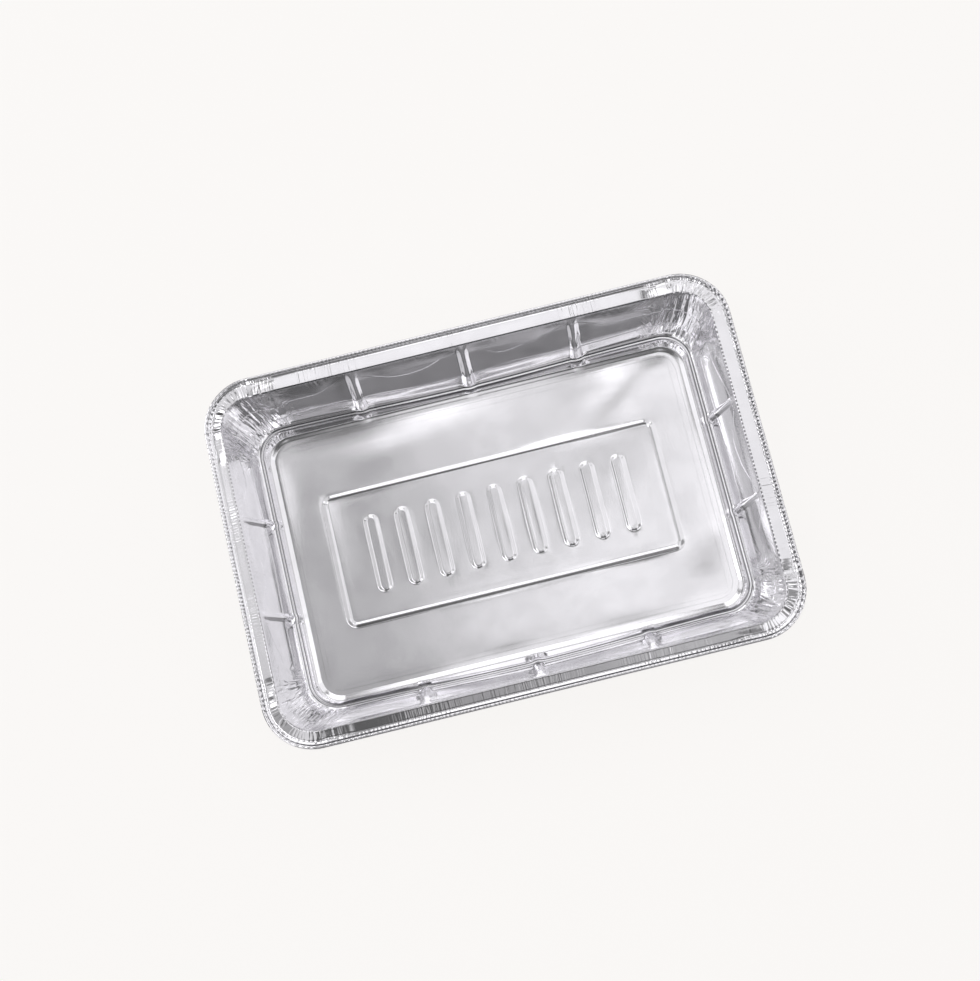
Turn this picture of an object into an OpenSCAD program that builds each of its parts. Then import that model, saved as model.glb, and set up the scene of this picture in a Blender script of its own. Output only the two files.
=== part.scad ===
// Foil drip pan, pressed from one sheet of aluminium foil.
// Millimetres, +Z up, +X along the long side. The origin is the middle of
// the footprint, on the surface that the pan stands on.

/* [Pan] */
// Length over the rolled rim
pan_length = 218; // [200:1:280]
// Width over the rolled rim
pan_width = 154; // [130:1:200]
// Height from the table to the crest of the wall
pan_height = 28; // [20:0.5:45]
// Thickness of the foil
foil = 0.1; // [0.08:0.01:0.2]

/* [Rim] */
// Radius of the rolled edge
roll_radius = 0.8; // [0.6:0.05:1.1]
// Turn of the rolled edge, from its top round to its free end
roll_turn = 270; // [180:45:315]
// Height by which the rolled edge stands above the flange
roll_rise = 0.35; // [0.2:0.05:0.6]
// Width of the flange between the wall and the groove that sets off the rolled edge
flange_width = 5.4; // [4.5:0.1:8]
// Width of the raised band on the outside of the flange
band_width = 1.4; // [1:0.1:2]
// Drop of the flange from the crest to the rolled edge
flange_drop = 1.6; // [0.5:0.1:2.5]
// Corner radius of the rim, seen from above
rim_corner = 21; // [17:0.5:30]

/* [Wall] */
// Lean of the wall, from the crest in to the foot
wall_inset = 10; // [7:0.5:16]
// Corner radius at the foot of the wall
foot_corner = 12; // [9:0.5:16]
// Height of the bend low in the wall
bend_height = 7; // [4:0.5:10]
// Distance of that bend outside the straight line of the wall
bend_swell = 0.35; // [0.1:0.05:0.8]
// Height of the small ledge where the wall ends
ledge_height = 1.3; // [0.8:0.1:2]
// Width of that ledge
ledge_width = 0.6; // [0.3:0.1:1.2]

/* [Ribs and gathers] */
// Number of ribs on each long wall
long_ribs = 3; // [1:1:4]
// Spacing of the ribs on a long wall
long_rib_pitch = 46; // [30:1:50]
// Number of ribs on each short wall
short_ribs = 2; // [1:1:3]
// Spacing of the ribs on a short wall
short_rib_pitch = 40; // [24:1:44]
// Width of a rib where it leaves a long wall
rib_width = 4.6; // [3:0.1:7]
// Height of a rib off a long wall
rib_height = 1.3; // [0.5:0.1:2]
// Width of a rib where it leaves a short wall
short_rib_width = 3; // [2:0.1:7]
// Height of a rib off a short wall
short_rib_height = 0.8; // [0.3:0.1:2]
// Share of a rib's height that is left where it marks the step inside the foot
rib_mark = 0.45; // [0:0.05:0.6]
// Number of gathered folds in each corner
folds = 9; // [5:1:10]
// Depth of the folds in the corner walls
fold_depth = 0.75; // [0.3:0.05:1.2]
// Depth of the crimps in the corners of the flange
crimp_depth = 0.4; // [0.1:0.05:0.6]

/* [Floor] */
// Width of the foot that the pan stands on
foot_width = 1.2; // [0.8:0.1:3]
// Width of the step from the foot up to the floor
step_width = 2.4; // [1.5:0.1:4]
// Height of the ridge round the floor
ridge_height = 2.2; // [1:0.1:4]
// Width of the slope from the ridge down to the floor
slope_width = 2.2; // [1:0.1:4]
// Drop of that slope
slope_drop = 0.45; // [0.1:0.05:0.9]
// Corner radius of the flat floor
floor_corner = 8.5; // [6:0.5:9]

/* [Embossing] */
// Length of the frame embossed on the floor, along the crest of its bead
frame_length = 138; // [124:1:145]
// Width of that frame
frame_width = 54; // [44:1:70]
// Corner radius of the frame
frame_corner = 3; // [2:0.5:6]
// Width of the frame's bead
bead_width = 2.6; // [1.5:0.1:3.5]
// Height of the frame's bead
bead_height = 0.5; // [0.4:0.05:1.5]
// Height of the panel inside the frame above the rest of the floor
panel_rise = 0.2; // [0:0.05:0.35]
// Number of stiffening bars inside the frame
bars = 9; // [3:1:9]
// Spacing of the bars
bar_pitch = 13; // [10:0.5:14]
// Length of a bar
bar_length = 33; // [15:1:44]
// Width of a bar
bar_width = 6; // [4:0.5:8]
// Height of a bar
bar_height = 0.45; // [0.4:0.05:1.5]
// Width of a bar's sloping side
bar_side = 0.9; // [0.5:0.1:1.5]

/* [Hidden] */

// Steps round the rolled edge, a corner of the frame and a quarter of a bar's end
roll_steps = 6;
frame_steps = 4;
bar_steps = 3;
// Slices of each gathered fold
slices = 2;
// Radius by which the crest line is rounded into the wall
crest_round = 0.6;
// Reach of the bend from the ledge down to the foot
foot_round = 0.2;
// Clearance between the bars' field and the frame's bead
field_margin = 1;
// Flat margin kept round the floor's edge, the frame and each bar
flat_margin = 0.5;
// Share of the band's width over which it rises from the groove
band_rise = 0.25;

// Distances in from the outside of the rim
groove_inset = 2 * roll_radius;
band_inset = groove_inset + band_width;
crest_inset = groove_inset + flange_width;
foot_inset = crest_inset + wall_inset;
step_inset = foot_inset + foot_width;
ridge_inset = step_inset + step_width;
floor_inset = ridge_inset + slope_width;

// Heights of the foil's upper face above the table
foot_z = foil;
flange_z = pan_height - flange_drop;
roll_z = flange_z + roll_rise - roll_radius;
floor_z = ridge_height - slope_drop;
panel_z = floor_z + panel_rise;

// Corner radius of the crest, round the same centre as the rim's
crest_corner = rim_corner - crest_inset;
ridge_corner = (foot_corner + floor_corner) / 2;

// The foil's upper face in section, from the free end of the roll in to the floor.
// Each row is inset, height, corner radius, and the shares of rib, fold and crimp there.
function roll_row(turn) =
    let (inset = roll_radius * (1 - cos(turn)))
    [inset, roll_z + roll_radius * sin(turn), rim_corner - inset, 0, 0, 0.25];

function flange_row(inset, rise, crimp) = [inset, flange_z + rise, rim_corner - inset, 0, 0, crimp];

function wall_row(height, swell, rib, fold) =
    let (
        share = (pan_height - height) / (pan_height - ledge_height),
        lean = wall_inset - ledge_width,
        corner = crest_corner + (foot_corner - crest_corner) * share
    )
    [crest_inset + lean * share - swell, height, corner, rib, fold, 0];

PROFILE = [
    for (k = [0 : roll_steps]) roll_row(90 - roll_turn * (1 - k / roll_steps)),
    flange_row(groove_inset, 0, 0.25),
    flange_row(groove_inset + band_width * band_rise, roll_rise, 0.35),
    flange_row(band_inset, 0, 0.5),
    flange_row((band_inset + crest_inset) / 2, flange_drop / 2, 1),
    [crest_inset, pan_height, crest_corner, 0.25, 0.3, 0.5],
    wall_row(pan_height - crest_round, -crest_round / 4, 0.8, 0.7),
    wall_row(bend_height, bend_swell, 1, 1),
    wall_row(ledge_height, 0, 1.1, 0.6),
    [foot_inset, ledge_height * 0.8, foot_corner, 0.35, 0.2, 0],
    [foot_inset + foot_round, foot_z, foot_corner, 0, 0, 0],
    [step_inset, foot_z, (foot_corner + ridge_corner) / 2, rib_mark, 0, 0],
    [ridge_inset, ridge_height, ridge_corner, rib_mark / 2, 0, 0],
    [floor_inset, floor_z, floor_corner, 0, 0, 0],
    [floor_inset + flat_margin, floor_z, floor_corner - flat_margin, 0, 0, 0]
];

// Stations round the loop. Each is a side, a distance along it, the angle round
// the corner that ends the side, the height of a rib and the share of a fold. A station in
// the corner has no distance.
function rib_places(count, pitch) = [for (k = [0 : count - 1]) (k - (count - 1) / 2) * pitch];

function rib_stations(side, count, pitch, width, height) = [
    for (centre = rib_places(count, pitch))
        for (part = [[-0.5, 0], [-0.2, 1], [0.2, 1], [0.5, 0]])
            [side, centre + part[0] * width, 0, part[1] * height, 0]
];

// A fold is an open valley and a sharp ridge, and no two neighbours are quite alike
function fold_share(k) = k % slices == 0 ? 0 : 0.75 + 0.25 * cos(k * 137);

function corner_stations(side) = [
    for (k = [0 : folds * slices]) [side, undef, 90 * k / (folds * slices), 0, fold_share(k)]
];

STATIONS = [
    for (side = [0 : 3]) each concat(
        side % 2 == 0
            ? rib_stations(side, short_ribs, short_rib_pitch, short_rib_width, short_rib_height)
            : rib_stations(side, long_ribs, long_rib_pitch, rib_width, rib_height),
        corner_stations(side)
    )
];

// Quarter turns about Z
function turned(p, quarter) =
    quarter % 4 == 0 ? [p[0], p[1]] :
    quarter % 4 == 1 ? [-p[1], p[0]] :
    quarter % 4 == 2 ? [-p[0], -p[1]] : [p[1], -p[0]];

// Upper normals along a section that runs inwards, stretched at each bend so
// that an offset section keeps its thickness
function upward(step) = [step[1], -step[0]] / norm(step);

function section_normals(path, first, last) = [
    for (k = [0 : len(path) - 1])
        let (
            before = k == 0 ? first : upward(path[k] - path[k - 1]),
            after = k == len(path) - 1 ? last : upward(path[k + 1] - path[k])
        )
        (before + after) / (1 + before * after)
];

PROFILE_PATH = [for (row = PROFILE) [-row[0], row[1]]];
PROFILE_NORMALS = section_normals(
    PROFILE_PATH, upward(PROFILE_PATH[1] - PROFILE_PATH[0]), [0, 1]
);

// One ring of the sheet, at a depth below its upper face
function sheet_ring(row, normal, depth) = [
    for (station = STATIONS)
        let (
            quarter = station[0],
            reach = (quarter % 2 == 0 ? pan_length : pan_width) / 2 - row[0],
            run = (quarter % 2 == 0 ? pan_width : pan_length) / 2 - row[0],
            inwards = depth * normal[0] + station[3] * row[3]
                + fold_depth * station[4] * row[4],
            radius = row[2],
            place = is_undef(station[1])
                ? [reach - radius + (radius - inwards) * cos(station[2]),
                    run - radius + (radius - inwards) * sin(station[2])]
                : [reach - inwards, station[1]],
            flat = turned(place, quarter)
        )
        [flat[0], flat[1], row[1] - depth * normal[1] - crimp_depth * station[4] * row[5]]
];

// A plain rounded rectangle of points, for the embossing
function plain_ring(centre, half, radius, steps, z) = [
    for (quarter = [0 : 3])
        for (k = [0 : steps])
            let (
                reach = quarter % 2 == 0 ? half[0] : half[1],
                run = quarter % 2 == 0 ? half[1] : half[0],
                angle = 90 * k / steps,
                flat = turned([reach - radius + radius * cos(angle),
                    run - radius + radius * sin(angle)], quarter)
            )
            [centre[0] + flat[0], centre[1] + flat[1], z]
];

// The frame's bead in section, from its outer foot to its inner one
BEAD_PATH = [
    [bead_width / 2 + flat_margin, floor_z],
    for (k = [0 : 4])
        let (turn = 45 * k, base = turn > 90 ? panel_rise : 0)
        [bead_width / 2 * cos(turn), floor_z + base + (bead_height - base) * sin(turn)]
];
BEAD_NORMALS = section_normals(BEAD_PATH, [0, 1], [0, 1]);

function bead_ring(k, depth) =
    let (out = BEAD_PATH[k][0] - depth * BEAD_NORMALS[k][0])
    plain_ring([0, 0], [frame_length / 2 + out, frame_width / 2 + out], frame_corner + out,
        frame_steps, BEAD_PATH[k][1] - depth * BEAD_NORMALS[k][1]);

// The field that holds the bars, one cell to a bar
field_width = frame_width - bead_width - 2 * field_margin;

function field_ring(depth) = concat(
    [for (k = [0 : bars]) [bar_pitch * (bars / 2 - k), field_width / 2, panel_z - depth]],
    [for (k = [0 : bars]) [bar_pitch * (k - bars / 2), -field_width / 2, panel_z - depth]]
);

BAR_PATH = [[flat_margin, panel_z], [0, panel_z], [-bar_side, panel_z + bar_height]];
BAR_NORMALS = section_normals(BAR_PATH, [0, 1], [0, 1]);

// One outline of a bar with round ends, from its lower right side on
function bar_ring(bar, level, depth) =
    let (
        out = BAR_PATH[level][0] - depth * BAR_NORMALS[level][0],
        z = BAR_PATH[level][1] - depth * BAR_NORMALS[level][1],
        x = bar_pitch * (bar - (bars - 1) / 2),
        radius = bar_width / 2 + out,
        run = (bar_length - bar_width) / 2,
        turns = [for (k = [0 : 2 * bar_steps]) 90 * k / bar_steps]
    )
    [
        [x + radius, -run, z],
        for (turn = turns) [x + radius * cos(turn), run + radius * sin(turn), z],
        for (turn = turns) if (turn < 180) [x - radius * cos(turn), -run - radius * sin(turn), z]
    ];

// All points of one face of the foil
function face_points(depth) = [
    for (k = [0 : len(PROFILE) - 1]) each sheet_ring(PROFILE[k], PROFILE_NORMALS[k], depth),
    for (k = [0 : len(BEAD_PATH) - 1]) each bead_ring(k, depth),
    each field_ring(depth),
    for (bar = [0 : bars - 1])
        for (level = [0 : len(BAR_PATH) - 1]) each bar_ring(bar, level, depth)
];

// Where each ring starts in that list
sheet_count = len(STATIONS);
frame_count = 4 * (frame_steps + 1);
bar_count = 4 * bar_steps + 2;
frame_start = len(PROFILE) * sheet_count;
field_start = frame_start + len(BEAD_PATH) * frame_count;
bars_start = field_start + 2 * (bars + 1);
face_count = bars_start + len(BAR_PATH) * bars * bar_count;

function indices(start, count) = [for (k = [0 : count - 1]) start + k];

// Triangles of the strip between two rings with as many points each
function strip(outer, inner, count) = [
    for (k = [0 : count - 1])
        let (next = (k + 1) % count)
        each [
            [outer + k, inner + k, outer + next],
            [outer + next, inner + k, inner + next]
        ]
];

// Angles of a loop's points about a centre, rising from its first point's
function loop_angles(points, loop, centre) =
    let (
        raw = [for (k = loop) atan2(points[k][1] - centre[1], points[k][0] - centre[0])],
        first = raw[0]
    )
    [for (k = [0 : len(raw)]) k == len(raw) ? first + 360 : raw[k] < first - 1e-6 ? raw[k] + 360 : raw[k]];

function takes_outer(outer, inner, i, j) =
    j >= len(inner) - 1 ? 1 :
    i >= len(outer) - 1 ? 0 :
    outer[i + 1] <= inner[j + 1] ? 1 : 0;

// Triangles between two loops with different numbers of points
function bridge(points, outer, inner, centre) =
    let (
        a = loop_angles(points, outer, centre),
        b = loop_angles(points, inner, centre),
        n = len(outer),
        m = len(inner)
    )
    [
        for (i = 0, j = 0, s = takes_outer(a, b, 0, 0), ni = 0, nj = 0; i + j < n + m;
            ni = i + s, nj = j + 1 - s, i = ni, j = nj, s = takes_outer(a, b, i, j))
            s == 1
                ? [outer[i % n], inner[j % m], outer[(i + 1) % n]]
                : [outer[i % n], inner[j % m], inner[(j + 1) % m]]
    ];

// The corners of one bar's cell, from its lower right corner on
function cell(bar) = [
    field_start + (bars + 1) + bar + 1,
    field_start + bars - bar - 1,
    field_start + bars - bar,
    field_start + (bars + 1) + bar
];

function bar_start(bar, level) = bars_start + (len(BAR_PATH) * bar + level) * bar_count;

function upper_faces(points) = [
    for (k = [0 : len(PROFILE) - 2]) each strip(k * sheet_count, (k + 1) * sheet_count, sheet_count),
    each bridge(points, indices((len(PROFILE) - 1) * sheet_count, sheet_count),
        indices(frame_start, frame_count), [0, 0]),
    for (k = [0 : len(BEAD_PATH) - 2])
        each strip(frame_start + k * frame_count, frame_start + (k + 1) * frame_count, frame_count),
    each bridge(points, indices(frame_start + (len(BEAD_PATH) - 1) * frame_count, frame_count),
        indices(field_start, 2 * (bars + 1)), [0, 0]),
    for (bar = [0 : bars - 1]) each bridge(points, cell(bar), indices(bar_start(bar, 0), bar_count),
        [bar_pitch * (bar - (bars - 1) / 2), 0]),
    for (bar = [0 : bars - 1])
        for (level = [0 : len(BAR_PATH) - 2])
            each strip(bar_start(bar, level), bar_start(bar, level + 1), bar_count),
    for (bar = [0 : bars - 1]) [
        for (k = [bar_count - 1 : -1 : 0]) bar_start(bar, len(BAR_PATH) - 1) + k
    ]
];

function flipped(faces) = [for (face = faces) [for (k = [len(face) - 1 : -1 : 0]) face[k] + face_count]];

// The free end of the roll joins the two faces
EDGE_FACES = [
    for (k = [0 : sheet_count - 1])
        let (next = (k + 1) % sheet_count)
        each [
            [k, next, face_count + k],
            [next, face_count + next, face_count + k]
        ]
];

module drip_pan() {
    upper = face_points(0);
    faces = upper_faces(upper);
    color("silver")
        polyhedron(
            points = concat(upper, face_points(foil)),
            faces = concat(faces, flipped(faces), EDGE_FACES)
        );
}

drip_pan();
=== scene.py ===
"""Foil drip pan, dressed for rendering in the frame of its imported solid."""
import logging
import math
from collections.abc import Callable, Sequence
from dataclasses import dataclass, field
from enum import Enum

import bpy
import numpy as np
from mathutils import Matrix, Vector
from mathutils.geometry import delaunay_2d_cdt


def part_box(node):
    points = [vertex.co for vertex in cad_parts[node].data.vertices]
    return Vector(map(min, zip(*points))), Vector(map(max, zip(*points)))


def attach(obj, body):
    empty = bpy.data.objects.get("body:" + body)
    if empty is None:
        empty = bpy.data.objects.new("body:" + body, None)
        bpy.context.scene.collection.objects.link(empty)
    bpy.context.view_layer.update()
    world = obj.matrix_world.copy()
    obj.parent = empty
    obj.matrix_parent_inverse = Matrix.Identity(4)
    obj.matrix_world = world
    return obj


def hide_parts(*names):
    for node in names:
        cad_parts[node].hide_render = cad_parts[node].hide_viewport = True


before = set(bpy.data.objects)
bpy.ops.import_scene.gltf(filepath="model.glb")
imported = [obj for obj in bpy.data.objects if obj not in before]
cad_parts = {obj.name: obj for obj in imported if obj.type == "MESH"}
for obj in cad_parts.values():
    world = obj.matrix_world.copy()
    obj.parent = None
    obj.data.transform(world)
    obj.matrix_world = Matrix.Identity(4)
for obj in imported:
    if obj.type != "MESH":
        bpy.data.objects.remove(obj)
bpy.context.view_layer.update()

LOG = logging.getLogger("drip_pan")
MM = 0.001
NODE = "drip_pan"
NO_RIB_NEAR = 99.0


class Side(Enum):
    """The pan's four sides, counter-clockwise from the right."""

    RIGHT = 0
    FAR = 1
    LEFT = 2
    NEAR = 3

    @property
    def is_short(self) -> bool:
        """Whether this is one of the two short sides."""
        return self in (Side.RIGHT, Side.LEFT)


class Value:
    """A number that a node tree works out, written as a Python expression."""

    def __init__(self, tree: "Tree", socket: bpy.types.NodeSocket) -> None:
        """Wrap a socket.

        Args:
            tree: The tree that holds the socket.
            socket: The output that gives the number.
        """
        self.tree = tree
        self.socket = socket

    def math(self, operation: str, *others: "Value | float", first: bool = True) -> "Value":
        """Add one Math node.

        Args:
            operation: The node's operation.
            others: Its other inputs.
            first: Whether this value is the first input, and not the second.

        Returns:
            The node's result.
        """
        terms = (self, *others) if first else (*others, self)
        made = self.tree.node("ShaderNodeMath", {"operation": operation}, dict(enumerate(terms)))
        return Value(self.tree, made.outputs[0])

    def __add__(self, other: "Value | float") -> "Value":
        """Return the sum."""
        return self.math("ADD", other)

    __radd__ = __add__

    def __mul__(self, other: "Value | float") -> "Value":
        """Return the product."""
        return self.math("MULTIPLY", other)

    __rmul__ = __mul__

    def __sub__(self, other: "Value | float") -> "Value":
        """Return the difference."""
        return self.math("SUBTRACT", other)

    def __rsub__(self, other: float) -> "Value":
        """Return the difference from a number."""
        return self.math("SUBTRACT", other, first=False)

    def __truediv__(self, other: "Value | float") -> "Value":
        """Return the quotient."""
        return self.math("DIVIDE", other)

    def __pow__(self, other: "Value | float") -> "Value":
        """Return the power."""
        return self.math("POWER", other)

    def __abs__(self) -> "Value":
        """Return the size without its sign."""
        return self.math("ABSOLUTE")

    def sine(self) -> "Value":
        """Return the sine."""
        return self.math("SINE")

    def ramp(self, low: float, high: float, start: float = 0.0, end: float = 1.0) -> "Value":
        """Return a smooth step.

        Args:
            low: The number at which the step starts.
            high: The number at which it ends.
            start: The result before the step.
            end: The result after it.

        Returns:
            The smoothed result.
        """
        made = self.tree.node(
            "ShaderNodeMapRange",
            {"interpolation_type": "SMOOTHSTEP"},
            {"Value": self, "From Min": low, "From Max": high, "To Min": start, "To Max": end},
        )
        return Value(self.tree, made.outputs[0])


class Tree:
    """A node tree that is built one node at a time."""

    def __init__(self, tree: bpy.types.NodeTree) -> None:
        """Keep the tree that the nodes go into."""
        self.tree = tree

    def node(
        self,
        kind: str,
        settings: dict[str, object] | None = None,
        inputs: dict[int | str, object] | None = None,
    ) -> bpy.types.Node:
        """Add a node.

        Args:
            kind: The node's type.
            settings: Its properties, set before its sockets.
            inputs: The values or links of its sockets.

        Returns:
            The new node.
        """
        made = self.tree.nodes.new(kind)
        for name, value in (settings or {}).items():
            setattr(made, name, value)
        for key, value in (inputs or {}).items():
            source = value.socket if isinstance(value, Value) else value
            if isinstance(source, bpy.types.NodeSocket):
                self.tree.links.new(source, made.inputs[key])
            else:
                made.inputs[key].default_value = source
        return made

    def value(self, kind: str, settings: dict[str, object], inputs: dict[int | str, object]) -> Value:
        """Add a node and return its first output as a number."""
        return Value(self, self.node(kind, settings, inputs).outputs[0])


@dataclass(frozen=True)
class Bend:
    """A corner of the foil's section, in millimetres from the rim and the table."""

    inset: float
    height: float
    radius: float = 0.0
    steps: int = 0
    spans: int = 1


@dataclass(frozen=True)
class PanSizes:
    """The pan's sizes in millimetres, as the solid has them."""

    length: float
    width: float
    height: float
    foil: float = 0.1
    roll_radius: float = 0.8
    roll_turn: float = 270.0
    roll_rise: float = 0.35
    flange_width: float = 5.4
    band_width: float = 1.4
    flange_drop: float = 1.6
    rim_corner: float = 21.0
    wall_inset: float = 10.0
    foot_corner: float = 12.0
    bend_height: float = 7.0
    bend_swell: float = 0.35
    ledge_height: float = 1.3
    ledge_width: float = 0.6
    long_rib_places: tuple[float, ...] = (-46.0, 0.0, 46.0)
    short_rib_places: tuple[float, ...] = (-20.0, 20.0)
    rib_width: float = 4.6
    rib_height: float = 1.3
    short_rib_width: float = 3.0
    short_rib_height: float = 0.8
    foot_width: float = 1.2
    step_width: float = 2.4
    ridge_height: float = 2.2
    slope_width: float = 2.2
    slope_drop: float = 0.45
    floor_corner: float = 8.5
    floor_margin: float = 1.6
    frame_length: float = 138.0
    frame_width: float = 54.0
    frame_corner: float = 3.0
    bead_width: float = 2.7
    bead_inside: float = 1.0
    bead_height: float = 0.52
    panel_rise: float = 0.12
    bars: int = 9
    bar_pitch: float = 13.0
    bar_length: float = 33.0
    bar_width: float = 6.0
    bar_height: float = 0.45
    bar_side: float = 1.15

    @classmethod
    def from_box(cls, low: Sequence[float], high: Sequence[float]) -> "PanSizes":
        """Take the overall sizes from the solid's box.

        Args:
            low: The box's lowest corner in metres.
            high: Its highest corner.

        Returns:
            The pan's sizes.
        """
        length, width, height = ((b - a) / MM for a, b in zip(low, high))
        return cls(length, width, height)

    @property
    def crest_inset(self) -> float:
        """Distance of the crest from the outside of the rim."""
        return 2 * self.roll_radius + self.flange_width

    @property
    def foot_inset(self) -> float:
        """Distance of the foot from the outside of the rim."""
        return self.crest_inset + self.wall_inset

    @property
    def step_inset(self) -> float:
        """Distance of the foot's inner edge from the outside of the rim."""
        return self.foot_inset + self.foot_width

    @property
    def ridge_inset(self) -> float:
        """Distance of the ridge from the outside of the rim."""
        return self.step_inset + self.step_width

    @property
    def floor_inset(self) -> float:
        """Distance of the flat floor from the outside of the rim."""
        return self.ridge_inset + self.slope_width

    @property
    def floor_z(self) -> float:
        """Height of the flat floor's upper face."""
        return self.ridge_height - self.slope_drop


def smooth(share: np.ndarray) -> np.ndarray:
    """Return the smooth step of a share between 0 and 1."""
    held = np.clip(share, 0.0, 1.0)
    return held * held * (3.0 - 2.0 * held)


def rounded_section(bends: Sequence[Bend]) -> np.ndarray:
    """Round the bends of a section and divide its straight runs.

    Args:
        bends: The corners of the section, in order.

    Returns:
        Rows of inset and height.
    """
    corners = [np.array((bend.inset, bend.height)) for bend in bends]
    points: list[np.ndarray] = [corners[0]]
    places = zip(corners, corners[1:], corners[2:], bends, bends[1:])
    for before, here, after, previous, bend in places:
        back = (before - here) / np.linalg.norm(before - here)
        ahead = (after - here) / np.linalg.norm(after - here)
        half = 0.5 * math.acos(max(-1.0, min(1.0, float(back @ ahead))))
        reach = bend.radius / math.tan(half) if bend.radius else 0.0
        start, end = here + back * reach, here + ahead * reach
        middle = here + (back + ahead) / np.linalg.norm(back + ahead) * bend.radius / math.sin(half)
        arc = [start + (end - start) * k / max(1, bend.steps) for k in range(bend.steps + 1)]
        if bend.radius:
            arc = [middle + (p - middle) / np.linalg.norm(p - middle) * bend.radius for p in arc]
        else:
            arc = [here]
        points += spread(points[-1], arc[0], previous.spans) + arc
    points += spread(points[-1], corners[-1], bends[-2].spans) + [corners[-1]]
    return np.array(points)


def section_run(rows: np.ndarray) -> np.ndarray:
    """Return the distance down a section at each of its rows."""
    return np.concatenate([[0.0], np.cumsum(np.linalg.norm(np.diff(rows, axis=0), axis=1))])


def spread(start: np.ndarray, end: np.ndarray, spans: int) -> list[np.ndarray]:
    """Return the points that divide a run into equal spans, without its ends."""
    return [start + (end - start) * k / spans for k in range(1, spans)]


@dataclass
class Stations:
    """The places round the pan at which every ring of the sheet has a point."""

    sizes: PanSizes
    corner_steps: int = 52
    wall_spacing: float = 2.8
    rib_step: float = 0.45
    stretch_steps: int = 5
    rib_flare: float = 1.3
    held_margin: float = 1.5
    side: np.ndarray = field(init=False)
    along: np.ndarray = field(init=False)
    stretch: np.ndarray = field(init=False)
    turn: np.ndarray = field(init=False)
    in_corner: np.ndarray = field(init=False)
    rib_gap: np.ndarray = field(init=False)
    held: np.ndarray = field(init=False)

    def __post_init__(self) -> None:
        """Lay the stations out side by side and corner by corner."""
        rows: list[tuple[float, ...]] = []
        for side in Side:
            rows += self.side_rows(side) + self.corner_rows(side)
        table = np.array(rows)
        self.side = table[:, 0].astype(int)
        self.along, self.stretch, self.turn = table[:, 1:4].T
        self.in_corner = table[:, 4] > 0.5
        self.rib_gap = table[:, 5]
        self.held = table[:, 6]

    @property
    def short(self) -> np.ndarray:
        """Whether each station is on a short side."""
        return self.side % 2 == 0

    def held_half(self, side: Side) -> float:
        """Half the length over which all rings run straight, on one side."""
        run = self.sizes.width if side.is_short else self.sizes.length
        return run / 2 - self.sizes.floor_inset - self.sizes.floor_corner - self.held_margin

    def side_rows(self, side: Side) -> list[tuple[float, ...]]:
        """Return the stations of one straight side.

        Args:
            side: The side.

        Returns:
            Rows of side, distance, stretch, turn, corner, rib gap and held half.
        """
        places = self.sizes.short_rib_places if side.is_short else self.sizes.long_rib_places
        held = self.held_half(side)
        half = self.sizes.rib_width * self.rib_flare / 2
        steps = np.arange(-half, half + 0.01, self.rib_step)
        marks = sorted(float(p + s) for p in places for s in steps - steps.mean())
        marks = [-held, *marks, held]
        distances: list[float] = []
        for a, b in zip(marks, marks[1:]):
            count = max(1, round((b - a) / self.wall_spacing)) if b - a > self.wall_spacing else 1
            distances += [a + (b - a) * k / count for k in range(count)]
        distances.append(held)
        gaps = [min(abs(d - p) for p in places) for d in distances]
        pull = [k / self.stretch_steps for k in range(1, self.stretch_steps)]
        before = [(side.value, -held, f, 0.0, 0.0, NO_RIB_NEAR, held) for f in reversed(pull)]
        middle = [(side.value, d, 0.0, 0.0, 0.0, g, held) for d, g in zip(distances, gaps)]
        after = [(side.value, held, f, 0.0, 0.0, NO_RIB_NEAR, held) for f in pull]
        return before + middle + after

    def corner_rows(self, side: Side) -> list[tuple[float, ...]]:
        """Return the stations of the corner that ends a side.

        Args:
            side: The side.

        Returns:
            Rows like those of a straight side.
        """
        held = self.held_half(side)
        turns = [0.5 * math.pi * k / self.corner_steps for k in range(self.corner_steps + 1)]
        return [(side.value, held, 1.0, t, 1.0, NO_RIB_NEAR, held) for t in turns]

    def plan(self, inset: float, corner: float) -> tuple[np.ndarray, np.ndarray]:
        """Lay one ring out in plan.

        Args:
            inset: The ring's distance in from the outside of the rim.
            corner: Its corner radius.

        Returns:
            The points and the outward directions, in millimetres.
        """
        short = self.short
        reach = np.where(short, self.sizes.length, self.sizes.width) / 2 - inset
        run = np.where(short, self.sizes.width, self.sizes.length) / 2 - inset
        slack = self.stretch * (run - corner - self.held)
        straight = np.stack([reach, self.along + np.sign(self.along) * slack], axis=1)
        out = np.stack([np.cos(self.turn), np.sin(self.turn)], axis=1)
        bent = np.stack([reach - corner, run - corner], axis=1) + corner * out
        local = np.where(self.in_corner[:, None], bent, straight)
        return self.turned(local), self.turned(out)

    def turned(self, local: np.ndarray) -> np.ndarray:
        """Turn points from their own side's frame into the pan's.

        Args:
            local: The points.

        Returns:
            The turned points.
        """
        quarter = self.side * math.pi / 2
        c, s = np.cos(quarter), np.sin(quarter)
        x, y = local.T
        return np.stack([c * x - s * y, s * x + c * y], axis=1)


@dataclass(frozen=True)
class Swell:
    """A long low swell in the floor, in millimetres and degrees from +X."""

    x: float
    y: float
    length: float
    width: float
    turn: float
    height: float

    def at(self, x: float, y: float) -> float:
        """Return the swell's height at a point.

        Args:
            x: The place along X.
            y: The place along Y.

        Returns:
            The height in millimetres.
        """
        turn = math.radians(self.turn)
        along = (x - self.x) * math.cos(turn) + (y - self.y) * math.sin(turn)
        across = (y - self.y) * math.cos(turn) - (x - self.x) * math.sin(turn)
        return self.height * math.exp(-((along / self.length) ** 2) - (across / self.width) ** 2)


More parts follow.
